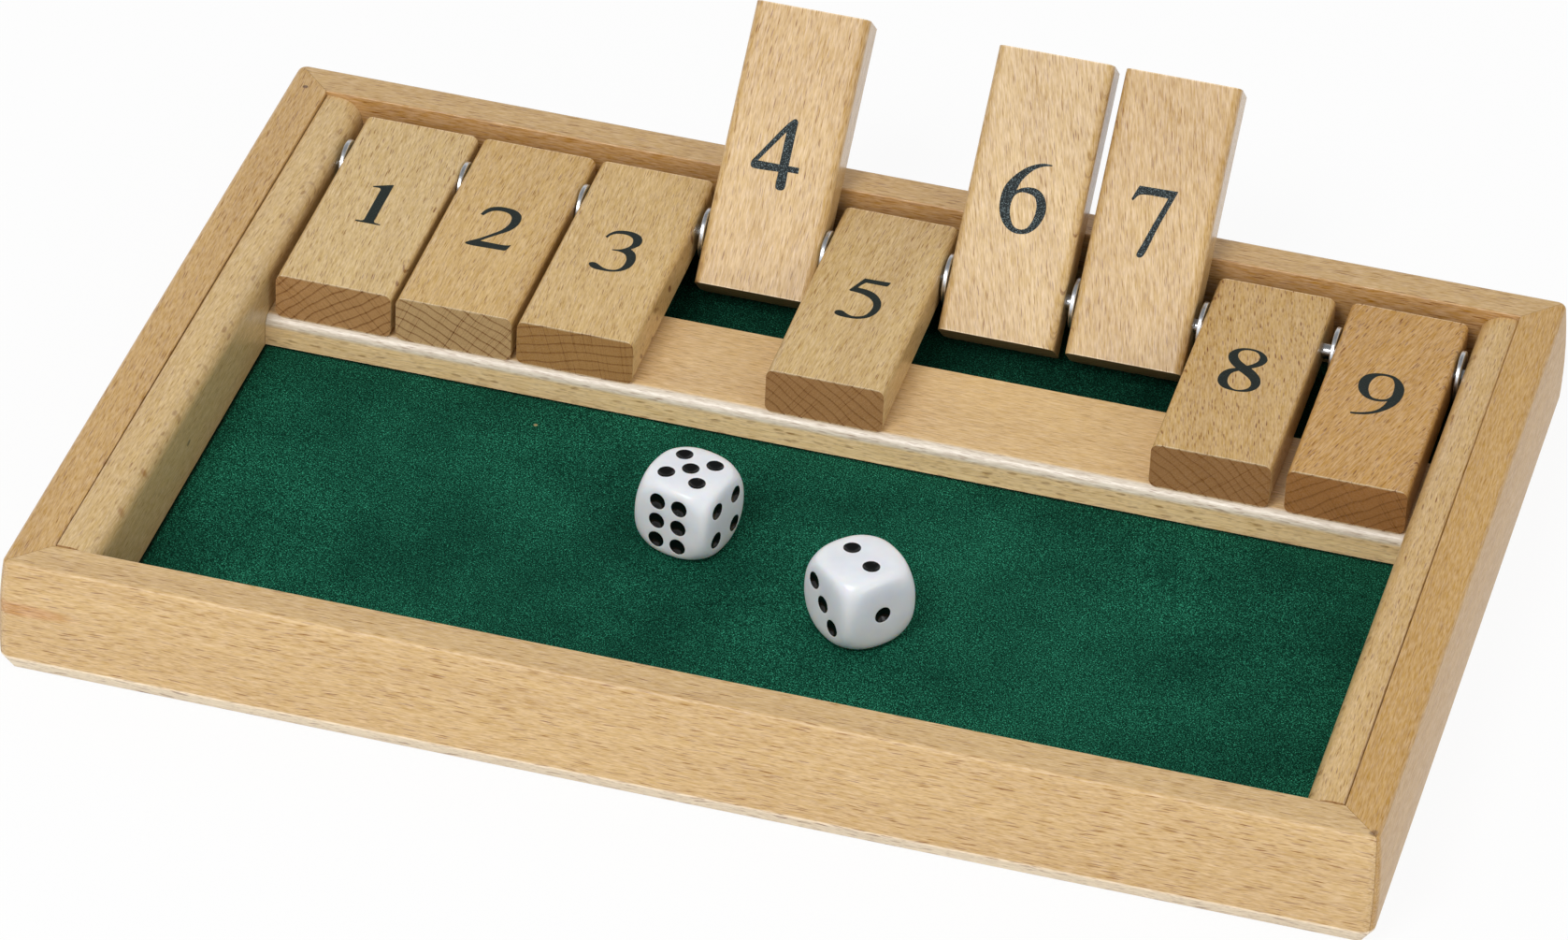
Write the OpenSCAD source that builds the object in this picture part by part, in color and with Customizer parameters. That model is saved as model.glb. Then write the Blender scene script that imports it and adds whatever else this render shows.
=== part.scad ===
// Shut the box game: a mitred beech tray with a felt floor, nine numbered tiles that
// turn on one steel rod with washers between them, a rest bar and two dice.
// Millimetres, +Z up, +Y towards the rod. The origin is the centre of the underside.

/* [Frame] */
// Width of a rail across its top
rail_w = 7.7; // [6:0.1:12]
// Height of the frame
rail_h = 24.5; // [21:0.1:32]
// How far the outer faces swell past the top edges
rail_bulge = 1; // [0.4:0.1:2]
// Height at which the outer faces swell most
bulge_at = 9.5; // [6:0.5:12]
// Radius of the frame's corners in plan
corner_r = 1.8; // [1:0.1:5]
// Height of the slope along the bottom of the outer faces
foot_rise = 3.6; // [1:0.1:5]
// How far that slope runs inwards down to the bottom
foot_set = 2.4; // [0.5:0.1:3]
// Rounding of the outer edge along the top
ease_r = 0.9; // [0.3:0.1:2]
// Rounding of the inner edge along the top
inner_ease_r = 0.3; // [0.2:0.05:1]
// Width of the glue line between two pieces of wood
glue_line = 0.06; // [0.02:0.01:0.2]

/* [Tray] */
// Clear depth between the front and the back rail
tray_d = 158.8; // [140:0.1:200]
// Thickness of the base board
base_t = 4.8; // [3:0.1:6]
// How far the base board reaches into the rails
base_lip = 3.5; // [2:0.1:5]
// Thickness of the felt
felt_t = 0.8; // [0.5:0.1:1.5]

/* [Cheeks] */
// Width of the cheeks that carry the rod
cheek_w = 7.5; // [6:0.1:12]
// Rounding of a cheek's inner edge along the top
cheek_round_r = 4.8; // [1:0.1:5.4]
// Rounding of a cheek's outer edge along the top
cheek_ease_r = 0.5; // [0.2:0.1:0.6]
// How far a cheek's front end stands above the rails
cheek_proud = 0.2; // [0:0.1:0.5]
// How far a cheek's top falls from its front end to its back end
cheek_fall = 1.1; // [0:0.1:2]
// Depth of the blind holes that hold the rod
socket_depth = 4; // [2:0.1:5]
// Radial clearance of the rod in those holes
socket_clear = 0.02; // [0.01:0.01:0.1]

/* [Rest bar] */
// Width of the bar that the tiles lie on
bar_w = 25.2; // [15:0.1:30]
// How far the bar's top lies under a level tile
bar_drop = 0.8; // [0.2:0.1:3]
// Rounding of the bar's upper front edge
bar_round_r = 1.8; // [0.5:0.1:3]
// How far the bar stands out past the tiles' free ends
bar_reach = 1; // [0:0.1:5]
// Gap between a lying tile and the bar
rest_gap = 0.05; // [0.02:0.01:0.3]

/* [Tiles] */
// Width of a tile
tile_w = 23; // [18:0.1:30]
// Length of a tile
tile_l = 56.6; // [42:0.1:70]
// Thickness of a tile
tile_t = 9.7; // [8:0.1:12]
// Rounding along a tile's long edges
tile_edge_r = 1.6; // [0.4:0.1:3]
// Distance from the rod to a tile's end behind it
rod_to_end = 10.5; // [8:0.1:14]
// Clearance of a turning tile from the felt
sweep_clear = 0.3; // [0.1:0.1:1.5]
// Clearance of a turning tile from the back rail
back_clear = 1.8; // [0.5:0.1:4]
// Gap between a standing tile and the back rail's edge
lean_gap = 0.08; // [0.02:0.01:0.3]

/* [Rod and washers] */
// Diameter of the rod
rod_d = 3; // [2:0.1:4]
// Radial clearance of a tile's bore on the rod
bore_clear = 0.06; // [0.02:0.01:0.1]
// Diameter of a washer
washer_d = 10; // [7:0.1:12]
// Thickness of a washer
washer_t = 0.9; // [0.6:0.1:1.2]
// Rounding of a washer's rim
washer_rim_r = 0.25; // [0.1:0.05:0.25]
// Radial clearance of a washer on the rod
washer_clear = 0.08; // [0.02:0.01:0.1]
// Gap between a washer and the tile at its right
washer_gap = 0.05; // [0.02:0.01:0.05]
// Side play of all tiles and washers together
side_play = 8.3; // [6:0.1:20]

/* [Dice] */
// Length of a die's side
die_s = 16; // [12:0.1:19]
// Rounding of a die's edges
die_edge_r = 2; // [0.5:0.1:2.4]
// How far a die's corners are rounded away
die_corner_cut = 3; // [1.5:0.1:3.2]
// Diameter of a pip
pip_d = 3.3; // [2:0.1:3.6]
// Depth of a pip
pip_depth = 0.5; // [0.3:0.05:0.9]
// Distance of the outer pips of a two, three, four or five from the middle
pip_step = 3.3; // [2.8:0.1:3.6]
// Distance of a six's columns from the middle
six_column = 2.3; // [2:0.1:3]
// Distance of a six's outer rows from the middle
six_row = 4.3; // [3.8:0.1:4.6]
// Place of the left die across the tray
left_die_x = -18; // [-80:0.1:-15]
// Distance of the left die in front of the rest bar
left_die_off = 34.4; // [16:0.1:65]
// Turn of the left die
left_die_turn = -15; // [-180:1:180]
// Place of the right die across the tray
right_die_x = 19.2; // [15:0.1:80]
// Distance of the right die in front of the rest bar
right_die_off = 50.9; // [16:0.1:65]
// Turn of the right die
right_die_turn = -43; // [-180:1:180]

/* [Hidden] */
$fn = 96;

// A cutter reaches this far past what it cuts
over = 1;

// Tiles and washers across the tray. The play is shared out as the pieces happen to lie.
tiles = 9;
washers = tiles + 1;
play_shares = [8, 1, 2, 11, 2, 6, 13, 11, 21, 8];
play_parts = total(play_shares, washers);
standing_tiles = [4, 6, 7];
tray_w = tiles * tile_w + washers * washer_t + side_play;

// Frame: outline at the top edges
frame_w = tray_w + 2 * cheek_w + 2 * rail_w;
frame_d = tray_d + 2 * rail_w;
well_w = frame_w - 2 * rail_w;
// Arc of the outer faces: it passes through the top edge and swells by rail_bulge
bulge_rise = rail_h - bulge_at;
bulge_r = (pow(bulge_rise, 2) + pow(rail_bulge, 2)) / (2 * rail_bulge);
bulge_u = rail_bulge - bulge_r;

// Heights of the floor
felt_z = base_t + felt_t;

// Rod: a turning tile clears the felt and the back rail
half_t = tile_t / 2;
swept_r = sqrt(pow(rod_to_end, 2) + pow(half_t, 2));
rod_z = felt_z + swept_r + sweep_clear;
rod_y = tray_d / 2 - swept_r - back_clear;
rod_l = tray_w + 2 * socket_depth;
free_l = tile_l - rod_to_end;

// Rest bar: in front of the tiles' free ends, just under a level tile
bar_front = rod_y - free_l - bar_reach;
bar_h = rod_z - half_t - bar_drop - felt_z;
bar_top = felt_z + bar_h;

// Lying tile: its underside rests on the bar's rounded edge, so it tips forward a little
rest_run = rod_y - bar_front - max(bar_round_r, bar_reach);
rest_fall = rod_z - bar_top + bar_round_r;
rest_span = sqrt(pow(rest_run, 2) + pow(rest_fall, 2));
lying_turn = atan2(rest_fall, rest_run) - asin((half_t + bar_round_r + rest_gap) / rest_span);

// Standing tile: it leans back on the rounded edge of the back rail
lean_run = tray_d / 2 - rod_y + inner_ease_r;
lean_rise = rail_h - inner_ease_r - rod_z;
lean_span = sqrt(pow(lean_run, 2) + pow(lean_rise, 2));
lean_angle = atan2(lean_rise, lean_run) + asin((half_t + inner_ease_r + lean_gap) / lean_span);
standing_turn = lean_angle - 180;

// Dice
die_ball_r = die_s / 2 * sqrt(3) - die_corner_cut;
pip_r = (pow(pip_d / 2, 2) + pow(pip_depth, 2)) / (2 * pip_depth);

beech = "#dcb98a";
plywood = "#cfae80";
felt_green = "#0c4a37";
steel = "#c9ccd0";
ivory = "#f1f3f6";

// Sum of the first n entries of a list
function total(list, n) = n == 0 ? 0 : list[n - 1] + total(list, n - 1);

// Width of the gap left of tile k
function gap(k) = washer_t + side_play * play_shares[k - 1] / play_parts;

// Left face of tile k
function tile_left(k) =
    (k - 1) * tile_w + k * washer_t + side_play * total(play_shares, k) / play_parts - tray_w / 2;

// Whether tile k stands in the rest pose
function stands(k) = len(search(k, standing_tiles)) > 0;

// What lies outside a round corner: it is centred at c with radius r, between two directions
module corner_cutter(c, r, from, to) {
    reach = 2 * r + over;
    mid = (from + to) / 2;
    difference() {
        translate(c)
            polygon([[0, 0], reach * [cos(from), sin(from)],
                1.5 * reach * [cos(mid), sin(mid)], reach * [cos(to), sin(to)]]);
        translate(c) circle(r = r);
    }
}

// Section of a rail: u = 0 is its outer top edge, the inner face is at u = -depth, v is the height
module rail_section(depth) {
    top = [bulge_u + sqrt(pow(bulge_r - ease_r, 2) - pow(bulge_rise - ease_r, 2)), rail_h - ease_r];
    foot_u = bulge_u + sqrt(pow(bulge_r, 2) - pow(bulge_at - foot_rise, 2));
    foot_slope = foot_set / foot_rise;
    difference() {
        intersection() {
            translate([-depth, 0]) square([depth + rail_bulge + over, rail_h]);
            translate([bulge_u, bulge_at]) circle(r = bulge_r, $fn = 720);
        }
        corner_cutter(top, ease_r, atan2(top[1] - bulge_at, top[0] - bulge_u), 90);
        polygon([[foot_u - foot_set - over * foot_slope, -over],
            [foot_u + over * foot_slope, foot_rise + over],
            [rail_bulge + 3 * over, foot_rise + over], [rail_bulge + 3 * over, -over]]);
    }
}

// One rail along X with its outer side towards -Y: straight, turned round both corners, mitred
module rail(length) {
    half = length / 2;
    straight = half - corner_r;
    cut = half - glue_line / sqrt(2);
    deep = rail_w + over;
    difference() {
        intersection() {
            union() {
                translate([-straight, 0, 0]) rotate([90, 0, 90])
                    linear_extrude(height = 2 * straight) mirror([1, 0]) rail_section(rail_w);
                for (side = [0, 1])
                    mirror([side, 0, 0]) translate([straight, corner_r, 0]) rotate([0, 0, -90])
                        rotate_extrude(angle = 90) translate([corner_r, 0]) rail_section(corner_r);
            }
            translate([0, 0, -over]) linear_extrude(height = rail_h + 2 * over)
                polygon([[-cut - deep, -deep], [cut + deep, -deep],
                    [cut - deep, deep], [deep - cut, deep]]);
        }
        translate([-half, rail_w - inner_ease_r, rail_h - inner_ease_r]) rotate([90, 0, 90])
            linear_extrude(height = length) corner_cutter([0, 0], inner_ease_r, 0, 90);
    }
}

// Room of the base board in the rails
module base_room(room) {
    size = [well_w + 2 * base_lip + room, tray_d + 2 * base_lip + room];
    translate([-size[0] / 2, -size[1] / 2, -room]) cube([size[0], size[1], base_t + room]);
}

// A rail on one side of the frame: turn 0 is the front
module placed_rail(turn, length, across) {
    color(beech) difference() {
        rotate([0, 0, turn]) translate([0, -across / 2, 0]) rail(length);
        base_room(2 * glue_line);
    }
}

module front_rail() placed_rail(0, frame_w, frame_d);
module back_rail() placed_rail(180, frame_w, frame_d);
module left_rail() placed_rail(-90, frame_d, frame_w);
module right_rail() placed_rail(90, frame_d, frame_w);

// Section of a cheek: v = 0 is its top and u = 0 its inner face
module cheek_section() {
    width = cheek_w - glue_line;
    height = rail_h + over;
    difference() {
        translate([0, -height]) square([width, height]);
        corner_cutter([cheek_round_r, -cheek_round_r], cheek_round_r, 90, 180);
        corner_cutter([width - cheek_ease_r, -cheek_ease_r], cheek_ease_r, 0, 90);
    }
}

// Cheek along a side rail: its rounded top falls a little towards the back, and it has a
// blind hole for the rod
module cheek() {
    depth = tray_d - 2 * glue_line;
    tilt = atan2(cheek_fall, depth);
    color(beech) difference() {
        intersection() {
            translate([tray_w / 2, -depth / 2, rail_h + cheek_proud]) rotate([-tilt, 0, 0])
                translate([0, depth + over, 0]) rotate([90, 0, 0])
                    linear_extrude(height = depth + 2 * over) cheek_section();
            translate([tray_w / 2 - over, -depth / 2, base_t])
                cube([cheek_w + 2 * over, depth, rail_h + cheek_proud]);
        }
        translate([tray_w / 2 - over, rod_y, rod_z]) rotate([0, 90, 0])
            cylinder(r = rod_d / 2 + socket_clear, h = socket_depth + over);
    }
}

module left_cheek() mirror([1, 0, 0]) cheek();
module right_cheek() cheek();

// Bar across the tray that the tiles lie on
module rest_bar() {
    length = tray_w - 2 * glue_line;
    color(beech) translate([-length / 2, bar_front, felt_z]) rotate([90, 0, 90])
        linear_extrude(height = length) difference() {
            square([bar_w, bar_h]);
            corner_cutter([bar_round_r, bar_h - bar_round_r], bar_round_r, 90, 180);
        }
}

module base_board() color(plywood) base_room(0);

// Felt on the base board, from cheek to cheek
module felt_sheet() {
    size = [tray_w - 2 * glue_line, tray_d - 2 * glue_line];
    color(felt_green) translate([-size[0] / 2, -size[1] / 2, base_t]) cube([size[0], size[1], felt_t]);
}

module pivot_rod() {
    color(steel) translate([-rod_l / 2, rod_y, rod_z]) rotate([0, 90, 0]) cylinder(d = rod_d, h = rod_l);
}

// Tile k on the rod, turned about it: its long edges are rounded
module tile(k) {
    turn = stands(k) ? standing_turn : lying_turn;
    edge = [tile_w / 2 - tile_edge_r, half_t - tile_edge_r];
    middle = [tile_left(k) + tile_w / 2, rod_y, rod_z];
    color(beech) translate(middle) rotate([turn, 0, 0]) difference() {
        translate([0, rod_to_end, 0]) rotate([90, 0, 0]) linear_extrude(height = tile_l) difference() {
            square([tile_w, tile_t], center = true);
            for (side = [0, 1], face = [0, 1])
                mirror([side, 0]) mirror([0, face]) corner_cutter(edge, tile_edge_r, 0, 90);
        }
        translate([-tile_w / 2 - over, 0, 0]) rotate([0, 90, 0])
            cylinder(r = rod_d / 2 + bore_clear, h = tile_w + 2 * over);
    }
}

// Washer in the gap left of tile k. The last one lies in the middle of its gap.
module washer(k) {
    slack = k == washers ? (gap(k) - washer_t) / 2 : washer_gap;
    left_face = [tile_left(k) - slack - washer_t, rod_y, rod_z];
    hole_r = rod_d / 2 + washer_clear;
    rim = washer_d / 2 - washer_rim_r;
    color(steel) translate(left_face) rotate([0, 90, 0]) rotate_extrude() difference() {
        translate([hole_r, 0]) square([washer_d / 2 - hole_r, washer_t]);
        corner_cutter([rim, washer_t - washer_rim_r], washer_rim_r, 0, 90);
        corner_cutter([rim, washer_rim_r], washer_rim_r, -90, 0);
    }
}

// Places of n pips on a face
function pip_places(n) =
    n == 1 ? [[0, 0]] :
    n == 2 ? [[-pip_step, 0], [pip_step, 0]] :
    n == 3 ? [[-pip_step, pip_step], [0, 0], [pip_step, -pip_step]] :
    n == 4 ? [for (u = [-1, 1], v = [-1, 1]) pip_step * [u, v]] :
    n == 5 ? concat(pip_places(1), pip_places(4)) :
    [for (u = [-1, 1], v = [-1, 0, 1]) [u * six_column, v * six_row]];

// Prism along Z with a die's rounded outline
module die_prism() {
    edge = die_s / 2 - die_edge_r;
    linear_extrude(height = die_s, center = true) difference() {
        square(die_s, center = true);
        for (turn = [0, 90, 180, 270])
            rotate(turn) corner_cutter([edge, edge], die_edge_r, 0, 90);
    }
}

// Die with the given numbers on its top, front and right face; opposite faces add up to seven
module die(x, off, turn, top, front, right) {
    sides = [[top, [0, 0, 0]], [7 - top, [180, 0, 0]],
        [front, [90, 0, 0]], [7 - front, [90, 0, 180]],
        [right, [90, 0, 90]], [7 - right, [90, 0, 270]]];
    color(ivory) translate([x, bar_front - off, felt_z + die_s / 2]) rotate([0, 0, turn]) difference() {
        intersection() {
            die_prism();
            rotate([90, 0, 0]) die_prism();
            rotate([0, 90, 0]) die_prism();
            sphere(r = die_ball_r);
        }
        for (side = sides, place = pip_places(side[0]))
            rotate(side[1])
                translate([place[0], place[1], die_s / 2 - pip_depth + pip_r]) sphere(r = pip_r);
    }
}

module left_die() die(left_die_x, left_die_off, left_die_turn, 5, 6, 4);
module right_die() die(right_die_x, right_die_off, right_die_turn, 2, 3, 1);

front_rail();
back_rail();
left_rail();
right_rail();
left_cheek();
right_cheek();
rest_bar();
base_board();
felt_sheet();
pivot_rod();
tile(1);  // tile_1
tile(2);  // tile_2
tile(3);  // tile_3
tile(4);  // tile_4
tile(5);  // tile_5
tile(6);  // tile_6
tile(7);  // tile_7
tile(8);  // tile_8
tile(9);  // tile_9
washer(1);  // washer_1
washer(2);  // washer_2
washer(3);  // washer_3
washer(4);  // washer_4
washer(5);  // washer_5
washer(6);  // washer_6
washer(7);  // washer_7
washer(8);  // washer_8
washer(9);  // washer_9
washer(10);  // washer_10
left_die();
right_die();
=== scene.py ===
# %% [markdown]
# A wooden number game in a tray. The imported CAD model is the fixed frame: its rails, tiles, rod and washers
# keep their meshes and get procedural finishes here. The felt is soft, so it is made anew as a sheet of
# cloth. The dice are made anew as smooth surfaces, and the printed digits are added as thin pieces of ink.

# %% Load the frame
import math

import bmesh
import bpy
import numpy as np
from mathutils import Matrix, Vector
from mathutils.geometry import tessellate_polygon


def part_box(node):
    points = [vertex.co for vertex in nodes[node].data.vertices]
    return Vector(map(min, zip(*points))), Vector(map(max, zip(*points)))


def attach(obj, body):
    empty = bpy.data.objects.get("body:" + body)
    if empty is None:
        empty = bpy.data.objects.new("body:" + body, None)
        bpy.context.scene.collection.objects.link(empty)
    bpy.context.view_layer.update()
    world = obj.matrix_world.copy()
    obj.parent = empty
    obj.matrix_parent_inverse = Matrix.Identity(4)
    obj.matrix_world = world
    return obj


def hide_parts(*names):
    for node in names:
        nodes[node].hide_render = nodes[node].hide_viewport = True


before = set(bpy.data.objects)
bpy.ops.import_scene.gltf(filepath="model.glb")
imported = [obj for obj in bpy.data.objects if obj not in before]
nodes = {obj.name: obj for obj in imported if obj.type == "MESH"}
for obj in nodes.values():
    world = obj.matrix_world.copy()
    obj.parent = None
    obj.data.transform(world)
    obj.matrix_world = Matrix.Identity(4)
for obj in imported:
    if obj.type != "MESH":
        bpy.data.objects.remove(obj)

MM = 0.001
scene = bpy.context.scene
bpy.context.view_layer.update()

# %% [markdown]
# The photograph was taken from in front and to the right, with a long lens from about a metre and a half
# away. The lens and place below were solved from the frame's straight edges, the tiles' corners and the
# dice. A camera looks along its own -Z axis, so it is first aimed at a point on the felt and then rolled a
# few degrees about that axis.

# %% Camera
CAMERA_AT = Vector((0.2871, -1.2044, 0.9064))
AIM = Vector((-0.0067, 0.0112, 0.0056))
ROLL = math.radians(3.042)
lens = bpy.data.cameras.new("long_lens")
lens.sensor_fit = "HORIZONTAL"
lens.sensor_width = 36
lens.lens = 187.58
lens.clip_end = 20
camera = bpy.data.objects.new("camera", lens)
aim = (AIM - CAMERA_AT).to_track_quat("-Z", "Y").to_matrix()
camera.matrix_world = Matrix.Translation(CAMERA_AT) @ (aim @ Matrix.Rotation(ROLL, 3, "Z")).to_4x4()
scene.collection.objects.link(camera)
scene.camera = camera
print("camera distance in m:", round((AIM - CAMERA_AT).length, 3))

# %% [markdown]
# Every finish is a node tree. One helper adds any node, sets its properties and fills or links its inputs.
# Another turns the colour that a person writes, such as #C8A878, into the linear light that a renderer adds.
# A third one puts points and faces into the scene as an object.

# %% Helpers for finishes and pieces
def srgb(code):
    """Each sRGB channel c becomes ((c + 0.055) / 1.055) ** 2.4, or c / 12.92 below 0.04045."""
    c = np.array([int(code[i:i + 2], 16) for i in (1, 3, 5)]) / 255
    return (*np.where(c > 0.04045, ((c + 0.055) / 1.055) ** 2.4, c / 12.92).tolist(), 1.0)


def wire(tree, node, inputs):
    """Fills or links inputs: each socket's name or number gets a value, a socket, or a node whose first
    output is meant."""
    for name, value in inputs.items():
        if isinstance(value, bpy.types.Node):
            value = value.outputs[0]
        if isinstance(value, bpy.types.NodeSocket):
            tree.links.new(value, node.inputs[name])
        else:
            node.inputs[name].default_value = value


def add(tree, kind, inputs=None, **settings):
    """Adds one node. settings are its own properties, and inputs are filled or linked."""
    node = tree.nodes.new("ShaderNode" + kind)
    for name, value in settings.items():
        setattr(node, name, value)
    wire(tree, node, inputs or {})
    return node


def finish_named(name):
    """A new material: its tree and its shader node."""
    material = bpy.data.materials.new(name)
    material.use_nodes = True
    return material, material.node_tree, material.node_tree.nodes["Principled BSDF"]


def new_object(name, points, faces, material, smooth=False):
    """An object in the scene with this mesh. Its points are in metres, and its origin is the scene's."""
    mesh = bpy.data.meshes.new(name)
    mesh.from_pydata(points.tolist(), [], faces)
    mesh.polygons.foreach_set("use_smooth", np.full(len(faces), smooth))
    mesh.materials.append(material)
    piece = bpy.data.objects.new(name, mesh)
    scene.collection.objects.link(piece)
    return piece


print("helpers ready; white is", srgb("#FFFFFF"))

# %% [markdown]
# A product photograph like this one is lit by one large softbox, high in front and a little to the left, by
# a weaker one at the right, and by light that white walls send back. A lamp's power follows from the level
# wanted on the object: a square softbox of power P at a distance d gives a white surface that faces it a
# level of P / (pi d) ** 2.

# %% Floor, walls and lamps
def softbox(name, direction, distance, size, level):
    """An area lamp that faces the origin: P = level * (pi * distance) ** 2."""
    lamp = bpy.data.lights.new(name, "AREA")
    lamp.size = size
    lamp.energy = level * (math.pi * distance) ** 2
    holder = bpy.data.objects.new(name, lamp)
    place = Vector(direction).normalized() * distance
    holder.matrix_world = Matrix.Translation(place) @ (-place).to_track_quat("-Z", "Y").to_matrix().to_4x4()
    scene.collection.objects.link(holder)
    return lamp


# Levels of the walls' light on the object, and of the dim ceiling that its gloss reflects
AMBIENT, CEILING = 0.58, 0.3
key = softbox("key_softbox", (-0.19, -0.63, 0.76), 1.7, 0.6, 0.47)
fill = softbox("right_fill", (0.75, -0.55, 0.38), 2.2, 1.0, 0.16)
print("key lamp W:", round(key.energy, 1), "fill W:", round(fill.energy, 1))

world = bpy.data.worlds.new("white_walls")
world.use_nodes = True
air = world.node_tree
path = add(air, "LightPath")
seen = add(air, "Math", {0: path.outputs["Is Camera Ray"], 1: path.outputs["Is Glossy Ray"]},
           operation="MAXIMUM")
seen = add(air, "Math", {0: seen, 1: path.outputs["Is Transmission Ray"]}, operation="MAXIMUM")
height = add(air, "SeparateXYZ", {0: add(air, "TexCoord")}).outputs["Z"]
wall = add(air, "MapRange", {"Value": height, "From Min": 0.25, "From Max": 0.7, "To Min": 1.0,
           "To Max": CEILING}, interpolation_type="SMOOTHSTEP")
level = add(air, "Mix", {0: seen, 2: AMBIENT, 3: wall})
wire(air, air.nodes["Background"], {"Color": srgb("#FFFFFF"), "Strength": level})
scene.world = world

# The floor is matt white paper that lies just under the part. Seen directly or in gloss, most of it shines
# white by itself, and only a share is lit paper, which keeps a faint shadow
FLOOR_Z, FLOOR_HALF, FLOOR_SHINE = -0.0002, 4, 0.92
paper, tree, shader = finish_named("white_paper_floor")
wire(tree, shader, {"Base Color": srgb("#EDEDED"), "Roughness": 0.9, "Specular IOR Level": 0.0})
path = add(tree, "LightPath")
seen = add(tree, "Math", {0: path.outputs["Is Camera Ray"], 1: path.outputs["Is Glossy Ray"]},
           operation="MAXIMUM")
share = add(tree, "Math", {0: seen, 1: FLOOR_SHINE}, operation="MULTIPLY")
glow = add(tree, "Emission", {"Color": srgb("#FFFFFF"), "Strength": 1.0})
both = add(tree, "MixShader", {0: share, 1: shader, 2: glow})
tree.links.new(both.outputs[0], tree.nodes["Material Output"].inputs["Surface"])
corners = np.array([(-1, -1), (1, -1), (1, 1), (-1, 1)]) * FLOOR_HALF
floor = new_object("paper_floor", np.c_[corners, np.full(4, FLOOR_Z)], [(0, 1, 2, 3)], paper)
scene.view_settings.view_transform = "Standard"
print("floor side in m:", 2 * FLOOR_HALF)

# %% [markdown]
# Beech is pale and even, and it is known by its rays: thin dark sheets that run from the pith outwards.
# Cut along the grain they show as short dark dashes, and on an end they show as fine straight lines that
# cross the growth rings. Both come from one solid pattern, worked out in the plank's own millimetres from
# the place of the pith, so that a plank's faces and ends agree as they do in real wood.

# %% Beech
# Spots a mm of each noise: across, along and through the plank, and for drift round the rings, along and
# outwards. Real dust and the lacquer's sparkle, whose glints are painted as white specks, are too fine to
# show here, so both are drawn a few times coarser
FIBRES, DUST, GLINT_SPOTS, DRIFT = (4.4, 0.2, 4.4), (4.2, 0.28, 4.2), (3.6, 0.35, 3.6), (0.12, 0.012, 0.3)
# How far a ray runs outwards, and the size of a fine ray's cell round the ring, along and outwards, in mm
RAY_DEPTH, FINE_RAY = 25, (0.22, 1.6, 12)
# Shares of dust and drift in the colour, and of rings and rays on an end
DUST_SHARE, DRIFT_SHARE, END_RING, END_RAY = 0.7, 0.4, 0.7, 0.85
# The colour of the painted highlight along a tile's end edges, and how far apart two planks' patterns
# are taken, in mm round a ring
EDGE_HIGHLIGHT, NEXT_PLANK = "#E6CDA5", 31.7


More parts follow.
